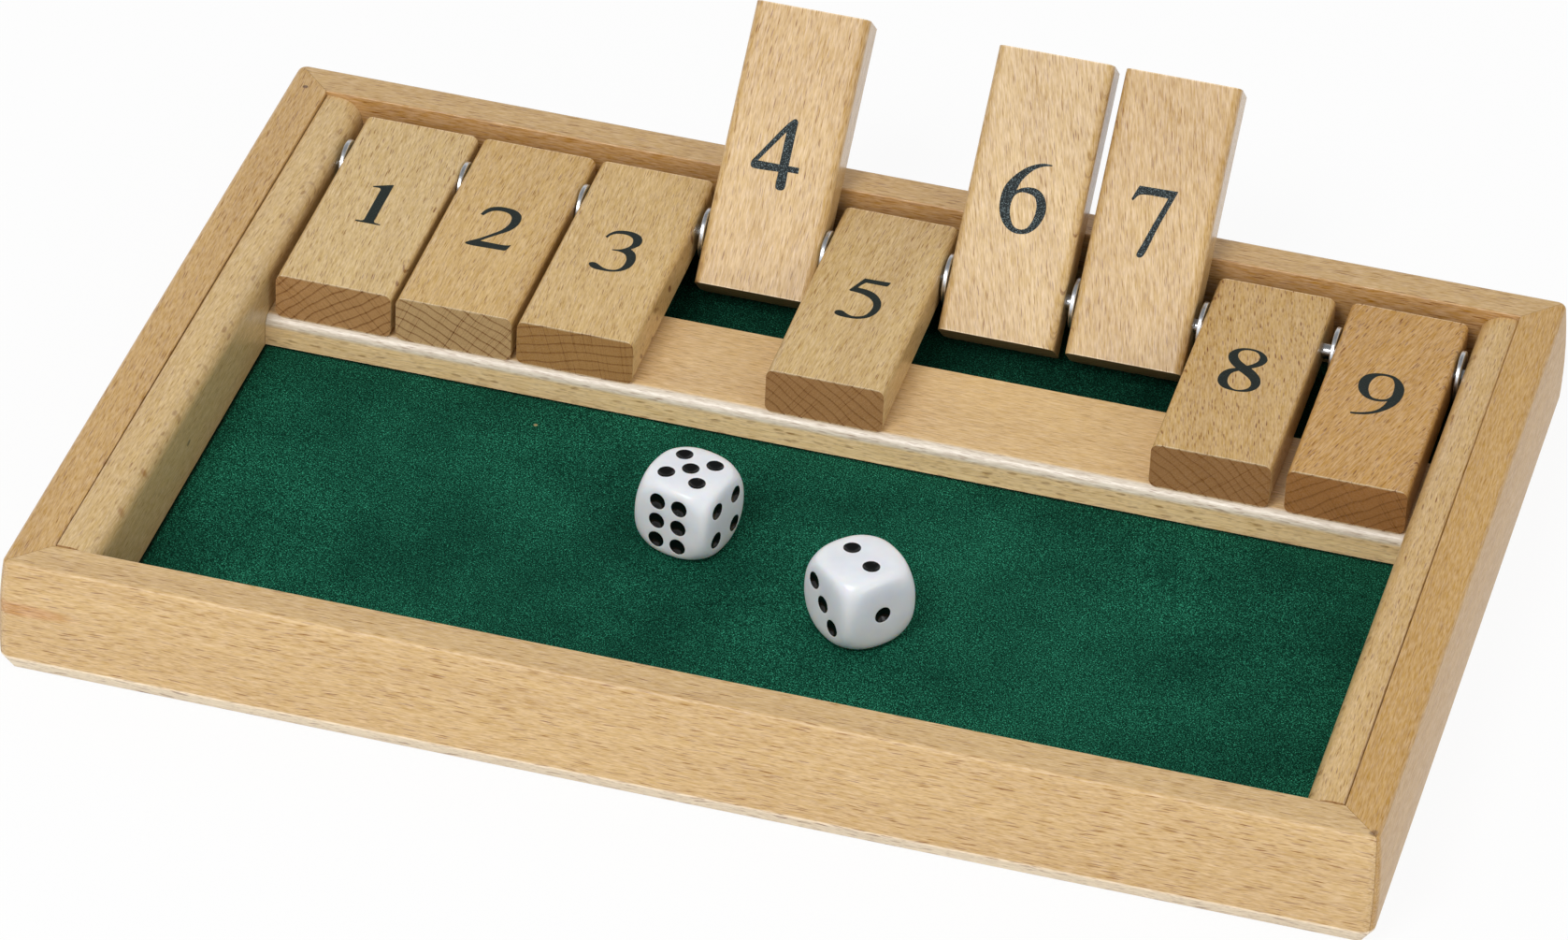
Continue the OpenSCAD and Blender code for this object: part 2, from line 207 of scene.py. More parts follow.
def beech(name, centre, turn=None, slant=0, pith=(50, -70), seed=0, tone="#D2B084", dark="#86562A",
          end_tone="#B08A5C", fleck=0.75, ray_size=(0.27, 4.0), ring=2.0, ring_show=0.05, side_show=0.05,
          wave=(0.08, 2.0), sway_size=(0.035, 1.6), streak=0.6, haze=0.34, gloss=0.5, side_gloss=None,
          coat_rough=0.2, eased=None, patches=()):
    """Lacquered beech, sawn and sanded. The eye gets pale wood with dark dashes on its faces, and darker
    ends with rings and rays, all under a thin gloss.
    Rings lie at equal r = distance to the pith, and rays at equal angle about it: t = angle * |pith| is the
    way round a ring, in mm. pith is where the tree's middle was, in mm across (X) and through (Z) the plank.
    centre is the plank's middle in mm and turn its own axes, with Y along the grain, and slant turns the
    grain on its face, in degrees.
    ring is one year's growth in mm, and its line shows by ring_show on the faces and side_show on the sides.
    It wavers by wave: spots a mm along the grain, and reach in years. sway_size bends the grain: spots a mm,
    and reach in mm. fleck is the strength of the dark dashes, and ray_size the width and length in mm of a
    ray's cell, of which a dash fills about half. streak is the strength of the fibres, and haze that of
    the white specks: painted glints that stand in for the sparkle of the lacquer. gloss is the weight of the
    coat, side_gloss its weight on the sides where that differs, and coat_rough its roughness. eased gives
    half the length and half the thickness of a plank whose end edges get a painted highlight: a pale line
    where their small rounding catches the light. Each patch is a place in the frame's mm, a reach across,
    along and through the plank, a colour and a share."""
    material, tree, shader = finish_named(name)
    sawn = turn or Matrix.Identity(3)
    turn = sawn @ Matrix.Rotation(math.radians(slant), 3, "Z")
    place = add(tree, "TexCoord")
    # The same point in the plank's mm: plank follows the slanted grain, and block the sawn edges
    plank, block = (add(tree, "Mapping", {"Vector": place.outputs["Object"], "Location": Vector(centre) * MM,
                        "Rotation": axes.to_euler("XYZ"), "Scale": (MM, MM, MM)}, vector_type="TEXTURE")
                    for axes in (turn, sawn))
    sway = add(tree, "TexNoise", {"Vector": plank, "Scale": sway_size[0], "Detail": 2.0})
    bent = add(tree, "VectorMath", {0: sway.outputs["Color"], 1: (sway_size[1], 0, 2 * sway_size[1]),
               2: plank}, operation="MULTIPLY_ADD")
    from_pith = add(tree, "VectorMath", {0: bent, 1: (pith[0], 0, pith[1])}, operation="SUBTRACT")
    across, along, outward = add(tree, "SeparateXYZ", {0: from_pith}).outputs
    flat = add(tree, "CombineXYZ", {0: across, 1: outward})
    radius = add(tree, "VectorMath", {0: flat}, operation="LENGTH").outputs["Value"]
    angle = add(tree, "Math", {0: across, 1: outward}, operation="ARCTAN2")
    round_ring = add(tree, "Math", {0: angle, 1: math.hypot(*pith), 2: NEXT_PLANK * seed},
                     operation="MULTIPLY_ADD")
    wood = add(tree, "CombineXYZ", {0: round_ring, 1: along, 2: radius})

    # Noise for the rings' waver, the fibres along the grain, the drift of the tone, dust and grit
    noises = []
    for where, spots, detail, harshness in ((wood, (0.08, wave[0], 0.08), 2.0, 0.5),
                                            (bent, FIBRES, 3.0, 0.6), (wood, DRIFT, 2.0, 0.5),
                                            (plank, DUST, 2.0, 0.9), (plank, GLINT_SPOTS, 1.0, 0.7)):
        at = add(tree, "VectorMath", {0: where, 1: spots}, operation="MULTIPLY")
        noises.append(add(tree, "TexNoise", {"Vector": at, "Scale": 1.0, "Detail": detail,
                          "Roughness": harshness}))
    waver, fibre, drift, dust, speck_noise = noises

    # Rays: flattened cells that are dark in the middle, each with its own strength
    ray_at = add(tree, "VectorMath", {0: wood, 1: (1 / ray_size[0], 1 / ray_size[1], 1 / RAY_DEPTH)},
                 operation="MULTIPLY")
    ray = add(tree, "TexVoronoi", {"Vector": ray_at, "Scale": 1.0}, feature="F1")
    ray_ink = add(tree, "MapRange", {"Value": ray.outputs["Distance"], "From Min": 0.34, "From Max": 0.18},
                  interpolation_type="SMOOTHSTEP")
    ray_pick = add(tree, "SeparateColor", {0: ray.outputs["Color"]})
    ray_pick = add(tree, "MapRange", {"Value": ray_pick, "To Min": 0.25})
    ray_ink = add(tree, "Math", {0: ray_ink, 1: ray_pick}, operation="MULTIPLY")
    # Fine rays between them
    fine_at = add(tree, "VectorMath", {0: wood, 1: [1 / v for v in FINE_RAY]}, operation="MULTIPLY")
    fine = add(tree, "TexVoronoi", {"Vector": fine_at, "Scale": 1.0}, feature="F1")
    fine_ink = add(tree, "MapRange", {"Value": fine.outputs["Distance"], "From Min": 0.45, "From Max": 0.1,
                   "To Max": 0.35}, interpolation_type="SMOOTHSTEP")
    # Rings: a thin dark line where each year's growth stops
    waver = add(tree, "Math", {0: waver, 1: wave[1]}, operation="MULTIPLY")
    year = add(tree, "Math", {0: radius, 1: 1 / ring, 2: waver}, operation="MULTIPLY_ADD")
    year = add(tree, "Math", {0: year}, operation="FRACT")
    line = add(tree, "MapRange", {"Value": year, "From Min": 0.74, "From Max": 0.94},
               interpolation_type="SMOOTHSTEP")

    # Ends are where the surface faces along the grain, and sides where it faces across
    end = add(tree, "VectorMath", {0: place.outputs["Normal"], 1: turn @ Vector((0, 1, 0))},
              operation="DOT_PRODUCT")
    end = add(tree, "Math", {0: end.outputs["Value"]}, operation="ABSOLUTE")
    end = add(tree, "MapRange", {"Value": end, "From Min": 0.55, "From Max": 0.9},
              interpolation_type="SMOOTHSTEP")
    side = add(tree, "VectorMath", {0: place.outputs["Normal"], 1: turn @ Vector((1, 0, 0))},
               operation="DOT_PRODUCT")
    side = add(tree, "Math", {0: side.outputs["Value"]}, operation="ABSOLUTE")
    side = add(tree, "MapRange", {"Value": side, "From Min": 0.6, "From Max": 0.95})

    # All of it is one share of the dark colour. Half of each noise's share comes off, so the tone stays
    side_line = add(tree, "Mix", {0: side, 2: ring_show, 3: side_show})
    line_show = add(tree, "Mix", {0: end, 2: side_line, 3: END_RING})
    ray_show = add(tree, "MapRange", {"Value": end, "To Min": fleck, "To Max": END_RAY})
    soft = add(tree, "Math", {0: fibre, 1: streak}, operation="MULTIPLY")
    soft = add(tree, "Math", {0: drift, 1: DRIFT_SHARE, 2: soft}, operation="MULTIPLY_ADD")
    soft = add(tree, "Math", {0: dust, 1: DUST_SHARE, 2: soft}, operation="MULTIPLY_ADD")
    soft = add(tree, "Math", {0: soft, 1: (DRIFT_SHARE + DUST_SHARE + streak) / 2}, operation="SUBTRACT")
    inked = add(tree, "Math", {0: line, 1: line_show, 2: soft}, operation="MULTIPLY_ADD")
    inked = add(tree, "Math", {0: ray_ink, 1: ray_show, 2: inked}, operation="MULTIPLY_ADD")
    inked = add(tree, "Math", {0: fine_ink, 1: ray_show, 2: inked}, operation="MULTIPLY_ADD")
    body = add(tree, "Mix", {0: end, 6: srgb(tone), 7: srgb(end_tone)}, data_type="RGBA")
    for spot, reach, stain, show in patches:
        spot = sawn.transposed() @ (Vector(spot) - Vector(centre))
        off = add(tree, "VectorMath", {0: block, 1: spot}, operation="SUBTRACT")
        off = add(tree, "VectorMath", {0: off, 1: [1 / v for v in reach]}, operation="MULTIPLY")
        off = add(tree, "VectorMath", {0: off}, operation="LENGTH").outputs["Value"]
        there = add(tree, "MapRange", {"Value": off, "From Min": 1.0, "From Max": 0.5, "To Max": show},
                    interpolation_type="SMOOTHSTEP")
        body = add(tree, "Mix", {0: there, 6: body.outputs[2], 7: srgb(stain)}, data_type="RGBA")
    if eased:
        # How far past an end edge a point is, in mm: 0 on the edge itself, and below 0 inside it
        past = add(tree, "VectorMath", {0: block}, operation="ABSOLUTE")
        past = add(tree, "VectorMath", {0: past, 1: (0, *eased)}, operation="SUBTRACT")
        past = add(tree, "SeparateXYZ", {0: past})
        past = add(tree, "Math", {0: past.outputs[1], 1: past.outputs[2]}, operation="MINIMUM")
        # Painted highlight: a pale line along the end edges, where their small rounding catches the light
        edge_glint = add(tree, "MapRange", {"Value": past, "From Min": -0.3, "From Max": -0.12, "To Max": 0.7},
                     interpolation_type="SMOOTHSTEP")
        body = add(tree, "Mix", {0: edge_glint, 6: body.outputs[2], 7: srgb(EDGE_HIGHLIGHT)}, data_type="RGBA")
    colour = add(tree, "Mix", {0: inked, 6: body.outputs[2], 7: srgb(dark)}, data_type="RGBA",
                 clamp_factor=False)
    # Painted glints: white specks in the colour stand in for the sparkle of the lacquer, so they add the same
    # to red, green and blue
    glint_show = add(tree, "MapRange", {"Value": end, "To Min": haze, "To Max": haze / 3})
    white = add(tree, "Math", {0: speck_noise, 1: 0.5}, operation="SUBTRACT")
    white = add(tree, "Math", {0: white, 1: glint_show}, operation="MULTIPLY")
    colour = add(tree, "VectorMath", {0: colour.outputs[2], 1: white}, operation="ADD")
    colour = add(tree, "VectorMath", {0: colour, 1: (0, 0, 0)}, operation="MAXIMUM")

    rough = add(tree, "MapRange", {"Value": dust, "To Min": 0.38, "To Max": 0.55})
    coat = gloss
    if side_gloss is not None:
        coat = add(tree, "Mix", {0: side, 2: gloss, 3: side_gloss})
    # The rays are sunken a little under the fibres, and the lacquer above has fine pimples that glint
    height = add(tree, "Math", {0: ray_ink, 1: -1.0, 2: fibre}, operation="MULTIPLY_ADD")
    bump = add(tree, "Bump", {"Height": height, "Strength": 0.5, "Distance": 0.03 * MM})
    pimples = add(tree, "Bump", {"Height": dust, "Strength": 0.9, "Distance": 0.05 * MM})
    wire(tree, shader, {"Base Color": colour, "Roughness": rough, "IOR": 1.5, "Normal": bump,
                        "Coat Weight": coat, "Coat Roughness": coat_rough, "Coat Normal": pimples})
    return material


def dress(node, material):
    """Gives a CAD node's slots this finish."""
    for place in nodes[node].material_slots:
        place.material = material


ALONG_X = Matrix.Rotation(math.radians(-90), 3, "Z")
print("beech is ready")

# %% [markdown]
# The rails were cut from different planks, so each one has its own tone and figure. The front rail is the
# palest, and the right rail is plain with a tint of orange. What a plank has besides its grain, such as a
# knot or a stain, is a patch: a soft spot or band of another colour. Other patches are painted light and
# shade: a painted reflection along the foot, painted shade on two faces, and painted light and a painted
# highlight on the bar.

# %% Rails, cheeks, bar and base
def middle(node):
    """The middle of a CAD node's box, in mm."""
    low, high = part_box(node)
    return (low + high) / (2 * MM)


# A ray's cell in the rails, in mm, which is longer than in the tiles
LONG_FLECKS = (0.3, 5.5)
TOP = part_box("front_rail")[1].z / MM
# A reach in mm that is longer than any plank
ALL = 1000
# Marks on the real wood: a knot at the front right mitre, a red streak, a pin knot and the cheek's stains
KNOT = ((126.3, -85.7, TOP), (0.9, 1.3, 1.0), "#745439", 0.75)
STREAK = ((-125, -88, 15), (8, 14, 1.8), "#BE8650", 0.6)
PIN_KNOT = ((-124, 79.5, TOP), (0.7, 0.7, 0.7), "#523A29", 0.9)
CHEEK_MARKS = [((-112.2, -50, TOP - 1.6), (1.6, 1.3, 2.2), "#A06E38", 0.7),
               ((-112.2, -63, TOP - 1.6), (1.6, 1.6, 2.2), "#A06E38", 0.6),
               ((-112.2, -26.6, 13.2), (1, 1.3, 0.6), "#5E4628", 0.8)]
# Painted reflection: the slope along the foot is paler, where it mirrors the white floor, with a painted
# highlight as a bright line on its upper edge
SLOPE_MIDDLE, SLOPE_TOP = 1.7, 3.6
FOOT_PAINTED_REFLECTION = [((0, 0, SLOPE_MIDDLE), (ALL, ALL, 2.3), "#E9D7B8", 1.0),
        ((0, 0, SLOPE_TOP), (ALL, ALL, 0.5), "#FFF0D8", 0.6)]
# Painted shade: the back rail's inner face, which lies in shade, and the right rail's outer face are given a
# darker, browner colour
BACK_INNER_PAINTED_SHADE = ((0, 79.2, 18), (0.8, ALL, 13), "#C19660", 1.0)
RIGHT_OUTER_PAINTED_SHADE = ((128.3, 0, 12), (2.0, ALL, ALL), "#BC9250", 1.0)
# Painted light: the bar's front and the top next to it are paler, and its rounded edge has a whitish painted
# highlight
BAR_FRONT_PAINTED_LIGHT = ((0, 17.9, TOP), (4, ALL, 100), "#F8D6A0", 1.0)
BAR_EDGE_PAINTED_HIGHLIGHT = ((0, 19.3, 11.3), (1.9, ALL, 1.9), "#E5D8C5", 1.0)
# Where the side rails' inner faces meet the cheeks, from the middle of the tray
GLUE_FROM_MIDDLE = 119.65


def joint(side):
    """The patch for the brown line of glue where a cheek meets its rail: side is -1 or 1."""
    return (side * GLUE_FROM_MIDDLE, 0, TOP), (0.42, ALL, 1.6), "#8A6238", 0.6


dress("front_rail", beech("beech_front_rail", middle("front_rail"), ALONG_X, 1, (-60, -70), 1, "#CEAC79",
                          ray_size=LONG_FLECKS, gloss=0.3, coat_rough=0.4,
                          patches=[KNOT, STREAK, *FOOT_PAINTED_REFLECTION]))
dress("back_rail", beech("beech_back_rail", middle("back_rail"), ALONG_X, 1, (-60, -60), 2, "#CAA670",
                         ray_size=LONG_FLECKS, patches=[BACK_INNER_PAINTED_SHADE, *FOOT_PAINTED_REFLECTION]))
dress("left_rail", beech("beech_left_rail", middle("left_rail"), None, 2, (60, -70), 3, "#C8A166",
                         ray_size=LONG_FLECKS, patches=[PIN_KNOT, *FOOT_PAINTED_REFLECTION]))
dress("right_rail", beech("beech_right_rail", middle("right_rail"), None, 1, (-60, -60), 4, "#C49A59",
                          fleck=0.4, ray_size=LONG_FLECKS, side_gloss=0.2,
                          patches=[KNOT, RIGHT_OUTER_PAINTED_SHADE, *FOOT_PAINTED_REFLECTION]))
dress("left_cheek", beech("beech_left_cheek", middle("left_cheek"), None, -2, (50, -60), 5, "#D2B27C",
                          fleck=0.55, patches=[joint(-1), *CHEEK_MARKS]))
dress("right_cheek", beech("beech_right_cheek", middle("right_cheek"), None, 1, (-50, -60), 6, "#CFAB71",
                           patches=[joint(1)]))
dress("rest_bar", beech("beech_rest_bar", middle("rest_bar"), ALONG_X, 0, (-6, -60), 7, "#E0BC85",
                        fleck=0.5, ring=1.2, ring_show=0.05, side_show=0.16, wave=(0.1, 2.5),
                        sway_size=(0.05, 0.8), gloss=1.0, coat_rough=0.33, patches=[BAR_FRONT_PAINTED_LIGHT, BAR_EDGE_PAINTED_HIGHLIGHT]))
dress("base_board", beech("beech_base_board", middle("base_board"), ALONG_X, 0, (10, -90), 8, "#C4A478"))
print("rail middles:", {n: [round(v, 1) for v in middle(n)] for n in ("front_rail", "left_cheek")})

# %% [markdown]
# The nine tiles are cut from several planks. Their flecks lean differently, and their ends show rings at
# different angles, so each tile has its own pith and slant. A tile that stands was turned on the rod, and
# its grain is turned with it, so that the pattern stays on the wood when the tile swings.

# %% Tiles
# The rod's axis in mm, the tiles' turns about it in degrees, the tiles that stand, and the way in mm from
# the rod to a tile's middle
ROD = Vector((0, 66.034, 17.466))
LYING, STANDING = 0.947, -133.691
STAND = (4, 6, 7)
ROD_TO_MIDDLE = 17.8


def tile_turn(k):
    """The tile's own axes: Y runs along it, towards the rod."""
    return Matrix.Rotation(math.radians(STANDING if k in STAND else LYING), 3, "X")


def tile_rod(k):
    """The point of the rod's axis in the tile's middle, in mm."""
    return Vector((middle("tile_%d" % k)[0], ROD.y, ROD.z))


# Slant of the grain in degrees, pith across and through in mm, tone of the face, tone of the end
CUTS = {1: (3, (70, -75), "#D4B57E", "#BC8E5C"), 2: (0, (-45, -90), "#CFAB6F", "#C8A373"),
        3: (4, (20, -90), "#D2B076", "#B2844F"), 4: (0, (60, -60), "#C8A46D", "#A98256"),
        5: (-3, (-60, -85), "#CEAE77", "#AE8051"), 6: (-16, (-50, -60), "#CAA976", "#A98256"),
        7: (-13, (40, -70), "#C29E68", "#A98256"), 8: (12, (-75, -70), "#CAA56A", "#A7794C"),
        9: (-16, (60, -75), "#C59857", "#A87442")}
# Tiles with coarse flecks, and a ray's cell in them, in mm
COARSE, COARSE_FLECKS = (8, 9), (0.34, 3.0)
# Half a tile's length and thickness in mm, and how far from the rod a standing tile gets painted light
EASED, PAINTED_LIGHT_NEAR_ROD = (28.3, 4.85), 34
for k, (slant, pith, tone, end_tone) in CUTS.items():
    centre = tile_rod(k) + tile_turn(k) @ Vector((0, -ROD_TO_MIDDLE, 0))
    own = {}
    if k in STAND:
        # A standing tile shows its underside, which is duller and has more painted glints, and its glossy
        # sides.
        # Near the rod its colour is paler: painted light, which makes up for the shade of its neighbours
        own.update(gloss=0.2, side_gloss=0.8, haze=0.44,
                   patches=[(tile_rod(k), (ALL, PAINTED_LIGHT_NEAR_ROD, ALL), "#D8B67C", 0.4)])
    if k in COARSE:
        own.update(fleck=0.9, ray_size=COARSE_FLECKS)
    dress("tile_%d" % k, beech("beech_tile_%d" % k, centre, tile_turn(k), slant, pith, 10 + k, tone,
                               end_tone=end_tone, eased=EASED, **own))
print("tile middles across, in mm:", [round(tile_rod(k).x, 1) for k in CUTS])

# %% [markdown]
# The digits are printed on both faces of each tile in dark ink. Each one is an outline of a few measured
# points. A smooth curve goes through them and breaks at the marked corners, and the shape is filled and
# given the thickness of a coat of ink. It could be an image on the wood, but a mesh stays sharp from near.

# %% Outlines of the digits, in mm about the digit's middle; a third value marks a corner
OUTLINES = {
    1: [
        [(-2.9, 5.35, 1), (0.75, 6.9, 1), (0.9, 6.7, 1), (0.9, -5.9, 1), (1.15, -6.35), (2.35, -6.6, 1),
         (2.35, -6.95, 1), (-2.6, -6.95, 1), (-2.6, -6.5, 1), (-1.4, -6.35), (-1.1, -5.9, 1),
         (-1.1, 4.5, 1), (-1.35, 5), (-1.9, 5.1), (-2.75, 5, 1)]],
    2: [
        [(-4.35, 2.9, 1), (-3.95, 4.4), (-3.05, 5.7), (-1.6, 6.4), (-0.1, 6.5), (1.75, 6.2), (3.2, 5),
         (3.7, 3.15), (3.5, 1.25), (2.6, -0.7), (1, -2.5), (-0.95, -4.6), (-1.75, -5.65, 1), (2.9, -5.65),
         (3.6, -5.5), (4.25, -5.15, 1), (4.1, -6.2), (3.75, -7.2), (3.3, -7.4, 1), (-4.2, -7.4),
         (-4.35, -7), (-3.65, -6.2), (-2.4, -5.1), (-0.35, -2.75), (1, -1), (1.75, 0.85), (1.9, 2.5),
         (1.65, 3.8), (0.9, 4.7), (-0.35, 5.1), (-2, 4.85), (-3, 4), (-3.7, 2.7, 1)]],
    3: [
        [(-3.45, 3.4, 1), (-2.9, 4.75), (-1.9, 5.85), (-0.2, 6.4), (1.65, 6.3), (3.1, 5.45), (3.75, 4),
         (3.65, 2.5), (3, 1.5), (2.4, 0.8, 1), (3.55, -0.25), (4.15, -1.85), (4.25, -3.5), (3.85, -5.2),
         (2.7, -6.65), (0.85, -7.5), (-0.85, -7.65), (-2.7, -7.5), (-3.75, -6.7), (-3.95, -6),
         (-3.5, -5.6), (-2.7, -5.6), (-1.9, -6.1), (-0.85, -6.75), (0.2, -6.95), (1.45, -6.65),
         (2.3, -5.6), (2.6, -3.95), (2.4, -2.3), (1.65, -1.1), (0.4, -0.6), (-1, -0.6, 1), (-1, -0.3, 1),
         (0.4, 0.1), (1.35, 0.9), (2, 1.9), (2.1, 3.15), (1.75, 4.3), (0.85, 5), (-0.2, 5.2), (-1.65, 4.9),
         (-2.5, 4.2), (-3.05, 3.05, 1)]],
    4: [
        [(0.9, 6.8), (1.5, 6.95), (1.95, 6.5, 1), (1.95, -2.3, 1), (4.1, -2.3, 1), (4.1, -3.5, 1),
         (2.05, -3.5, 1), (2.05, -6.9), (1.6, -7.25), (0.7, -7.25), (0.3, -6.9), (0.2, -3.8, 1),
         (-5.1, -3.85), (-5.4, -3.5), (-5.45, -2.7), (-5.2, -2.2, 1)],
        [(0.1, 4.15, 1), (0.1, -2.3, 1), (-4.2, -2.3, 1)]],
    5: [
        [(-1.45, 5.8, 1), (3.7, 5.95, 1), (3.6, 5.5), (3.3, 4.6), (3, 4.5, 1), (-0.85, 4.5, 1),
         (-1.5, 3.5), (-1.95, 2.5, 1), (0.1, 2.25), (1.75, 1.5), (3.1, 0), (3.75, -1.65), (3.85, -3.1),
         (3.4, -5), (2.4, -6.45), (0.7, -7.45), (-1.15, -7.7), (-2.85, -7.6), (-3.85, -7.25),
         (-4.15, -6.65), (-3.85, -5.95), (-3, -5.75), (-2.4, -6), (-1.8, -6.45), (-0.75, -6.85),
         (0.3, -6.75), (1.55, -6), (2.15, -4.75), (2.4, -3.1), (2.1, -1.5), (1.1, -0.25), (-0.35, 0.55),
         (-2, 0.9), (-3.15, 0.95, 1), (-3.35, 1.3, 1)]],
    6: [
        [(3.8, 7.35, 1), (2.1, 7.35), (0.2, 6.7), (-1.65, 5.45), (-3.35, 3.55), (-4.4, 1.7), (-4.75, -0.4),
         (-4.6, -2.5), (-3.95, -4.35), (-2.9, -5.8), (-1.45, -6.75), (0.1, -7), (1.9, -6.55), (3.35, -5.2),
         (4.15, -3.5), (4.45, -1.85), (4.1, 0), (3.1, 1.5), (1.9, 2.2), (0.4, 2.3), (-1.05, 1.9),
         (-2, 1.3, 1), (-1.45, 3.15), (-0.4, 4.8), (0.85, 6.05), (2.3, 6.8), (3.85, 7.15, 1)],
        [(0.2, 1.1), (-1.2, 1), (-2.1, 0.25), (-2.5, -1.2), (-2.4, -2.9), (-1.85, -4.55), (-1.05, -5.7),
         (0.2, -6.1), (1.45, -5.6), (2.15, -4.35), (2.5, -2.7), (2.4, -0.8), (1.65, 0.65)]],
    7: [
        [(-4, 6.6, 1), (3.6, 6.75, 1), (3.45, 6.2), (2.65, 3.75), (1.2, -0.8), (-0.45, -6.65),
         (-0.9, -7.1), (-1.5, -7.1), (-1.8, -6.75), (-1.1, -4.35), (0.25, 0), (1.95, 5.1, 1), (-1.9, 5.1),
         (-3.6, 4.8), (-4.5, 3.75), (-4.7, 3.5, 1), (-5, 3.8, 1), (-4.6, 5)]],
    8: [
        [(-0.35, 6.9), (1.55, 6.5), (2.8, 5.45), (3.35, 4), (2.9, 2.5), (1.95, 1.4), (1, 0.65, 1),
         (2.15, -0.4), (3.2, -1.85), (3.7, -3.7), (3.35, -5.4), (2.15, -6.75), (0.3, -7.35),
         (-0.95, -7.35), (-2.85, -6.95), (-4.1, -5.6), (-4.4, -3.7), (-4, -2.05), (-3.05, -0.8),
         (-1.9, -0.1, 1), (-3.05, 1.05), (-3.9, 2.5), (-4.1, 4), (-3.65, 5.25), (-2.4, 6.4)],
        [(-0.35, 6.3), (0.9, 6), (1.65, 5), (1.75, 3.55), (1.1, 2.3), (0, 1.25, 1), (-1.35, 2.3),
         (-2.2, 3.55), (-2.35, 4.8), (-1.8, 5.85)],
        [(-1.1, -0.8, 1), (0.3, -1.85), (1.55, -3.1), (2.05, -4.55), (1.55, -6), (0.1, -6.85),
         (-0.95, -6.75), (-2.1, -5.6), (-2.55, -3.95), (-2.35, -2.25), (-1.8, -1.35)]],
    9: [
        [(-0.4, 7), (1.45, 6.7), (2.9, 5.55), (3.9, 3.8), (4.25, 1.5), (3.95, -0.8), (3.1, -2.9),
         (1.45, -5), (-0.85, -6.65), (-3.3, -7.35), (-4.15, -7.4, 1), (-4.25, -6.85, 1), (-3.3, -6.75),
         (-1.25, -6), (0.2, -5), (1.25, -3.3), (1.75, -1.5, 1), (0.6, -1.95), (-0.85, -2.05), (-2.5, -1.5),
         (-3.95, 0), (-4.6, 1.9), (-4.6, 3.8), (-3.95, 5.45), (-2.5, 6.55)],
        [(-0.4, 6.3), (1.05, 6), (1.9, 4.4), (2.2, 2.1), (2.1, 0.25), (1.25, -0.95), (-0.2, -1.35),
         (-1.45, -0.95), (-2.3, 0.65), (-2.6, 2.5), (-2.3, 4.6), (-1.45, 5.95)]]}
print("points in all outlines:", sum(len(loop) for loops in OUTLINES.values() for loop in loops))

# %% [markdown]
# Each outline becomes a curve that goes through all its points, then a flat shape filled with triangles, and
# then a closed plate: two levels of that shape with walls between them. The ink of the undersides has
# bright pale specks: painted glints of the lamp on the rough print, which the standing tiles turn towards it.

# %% Digits
# Half the ink's thickness, the way from the rod to a digit's middle, and half a tile's thickness, in mm
INK = 0.02
DIGIT_FROM_ROD = 17.4
HALF_TILE = EASED[1]
# Specks in the ink: 5.2 a mm
INK_SPECKS = 5.2 / MM


def smooth_loop(points, steps=6):
    """Closed centripetal Catmull-Rom curve. Between points a and b it is the cubic (2t^3 - 3t^2 + 1) a +
    (t^3 - 2t^2 + t) m0 + (3t^2 - 2t^3) b + (t^3 - t^2) m1. Its slopes m0 and m1 are those of the parabolas
    through each point and its neighbours, where the way between two points takes the root of its length.
    At a corner the neighbour is mirrored, and between two corners the curve is straight."""
    spots = np.array([q[:2] for q in points], float)
    corner = [len(q) > 2 for q in points]
    t = np.arange(steps)[:, None] / steps
    parts = []
    for i in range(len(spots)):
        j, after = (i + 1) % len(spots), (i + 2) % len(spots)
        a, b = spots[i], spots[j]
        if corner[i] and corner[j]:
            parts.append(a[None])
            continue
        p = 2 * a - b if corner[i] else spots[i - 1]
        q = 2 * b - a if corner[j] else spots[after]
        d0, d1, d2 = (np.sqrt(np.linalg.norm(v)) for v in (a - p, b - a, q - b))
        m0 = ((a - p) / d0 - (b - p) / (d0 + d1) + (b - a) / d1) * d1
        m1 = ((b - a) / d1 - (q - a) / (d1 + d2) + (q - b) / d2) * d1
        parts.append((2 * t**3 - 3 * t**2 + 1) * a + (t**3 - 2 * t**2 + t) * m0
                     + (3 * t**2 - 2 * t**3) * b + (t**3 - t**2) * m1)
    return np.vstack(parts)


def plate(loops):
    """A flat shape with holes as a closed plate from w = -INK to w = INK: the first loop runs anticlockwise
    and the holes clockwise, so the walls between the two levels face outwards."""
    rings = []
    for i, loop in enumerate(loops):
        x, y = loop.T
        area = np.sum(x * np.roll(y, -1) - y * np.roll(x, -1))
        rings.append(loop if (area > 0) == (i == 0) else loop[::-1])
    flat = np.vstack(rings)
    count = len(flat)
    tris = np.array(tessellate_polygon([[Vector((*p, 0)) for p in ring] for ring in rings]))
    a, b, c = (flat[tris[:, i]] for i in range(3))
    down = (b - a)[:, 0] * (c - a)[:, 1] < (b - a)[:, 1] * (c - a)[:, 0]
    tris[down] = tris[down][:, ::-1]
    points = np.vstack([np.c_[flat, np.full(count, -INK)], np.c_[flat, np.full(count, INK)]])
    faces = [*(tris[:, ::-1].tolist()), *((tris + count).tolist())]
    start = 0
    for ring in rings:
        here = np.arange(len(ring)) + start
        ahead = np.roll(here, -1)
        faces += np.c_[here, ahead, ahead + count, here + count].tolist()
        start += len(ring)
    return points, faces


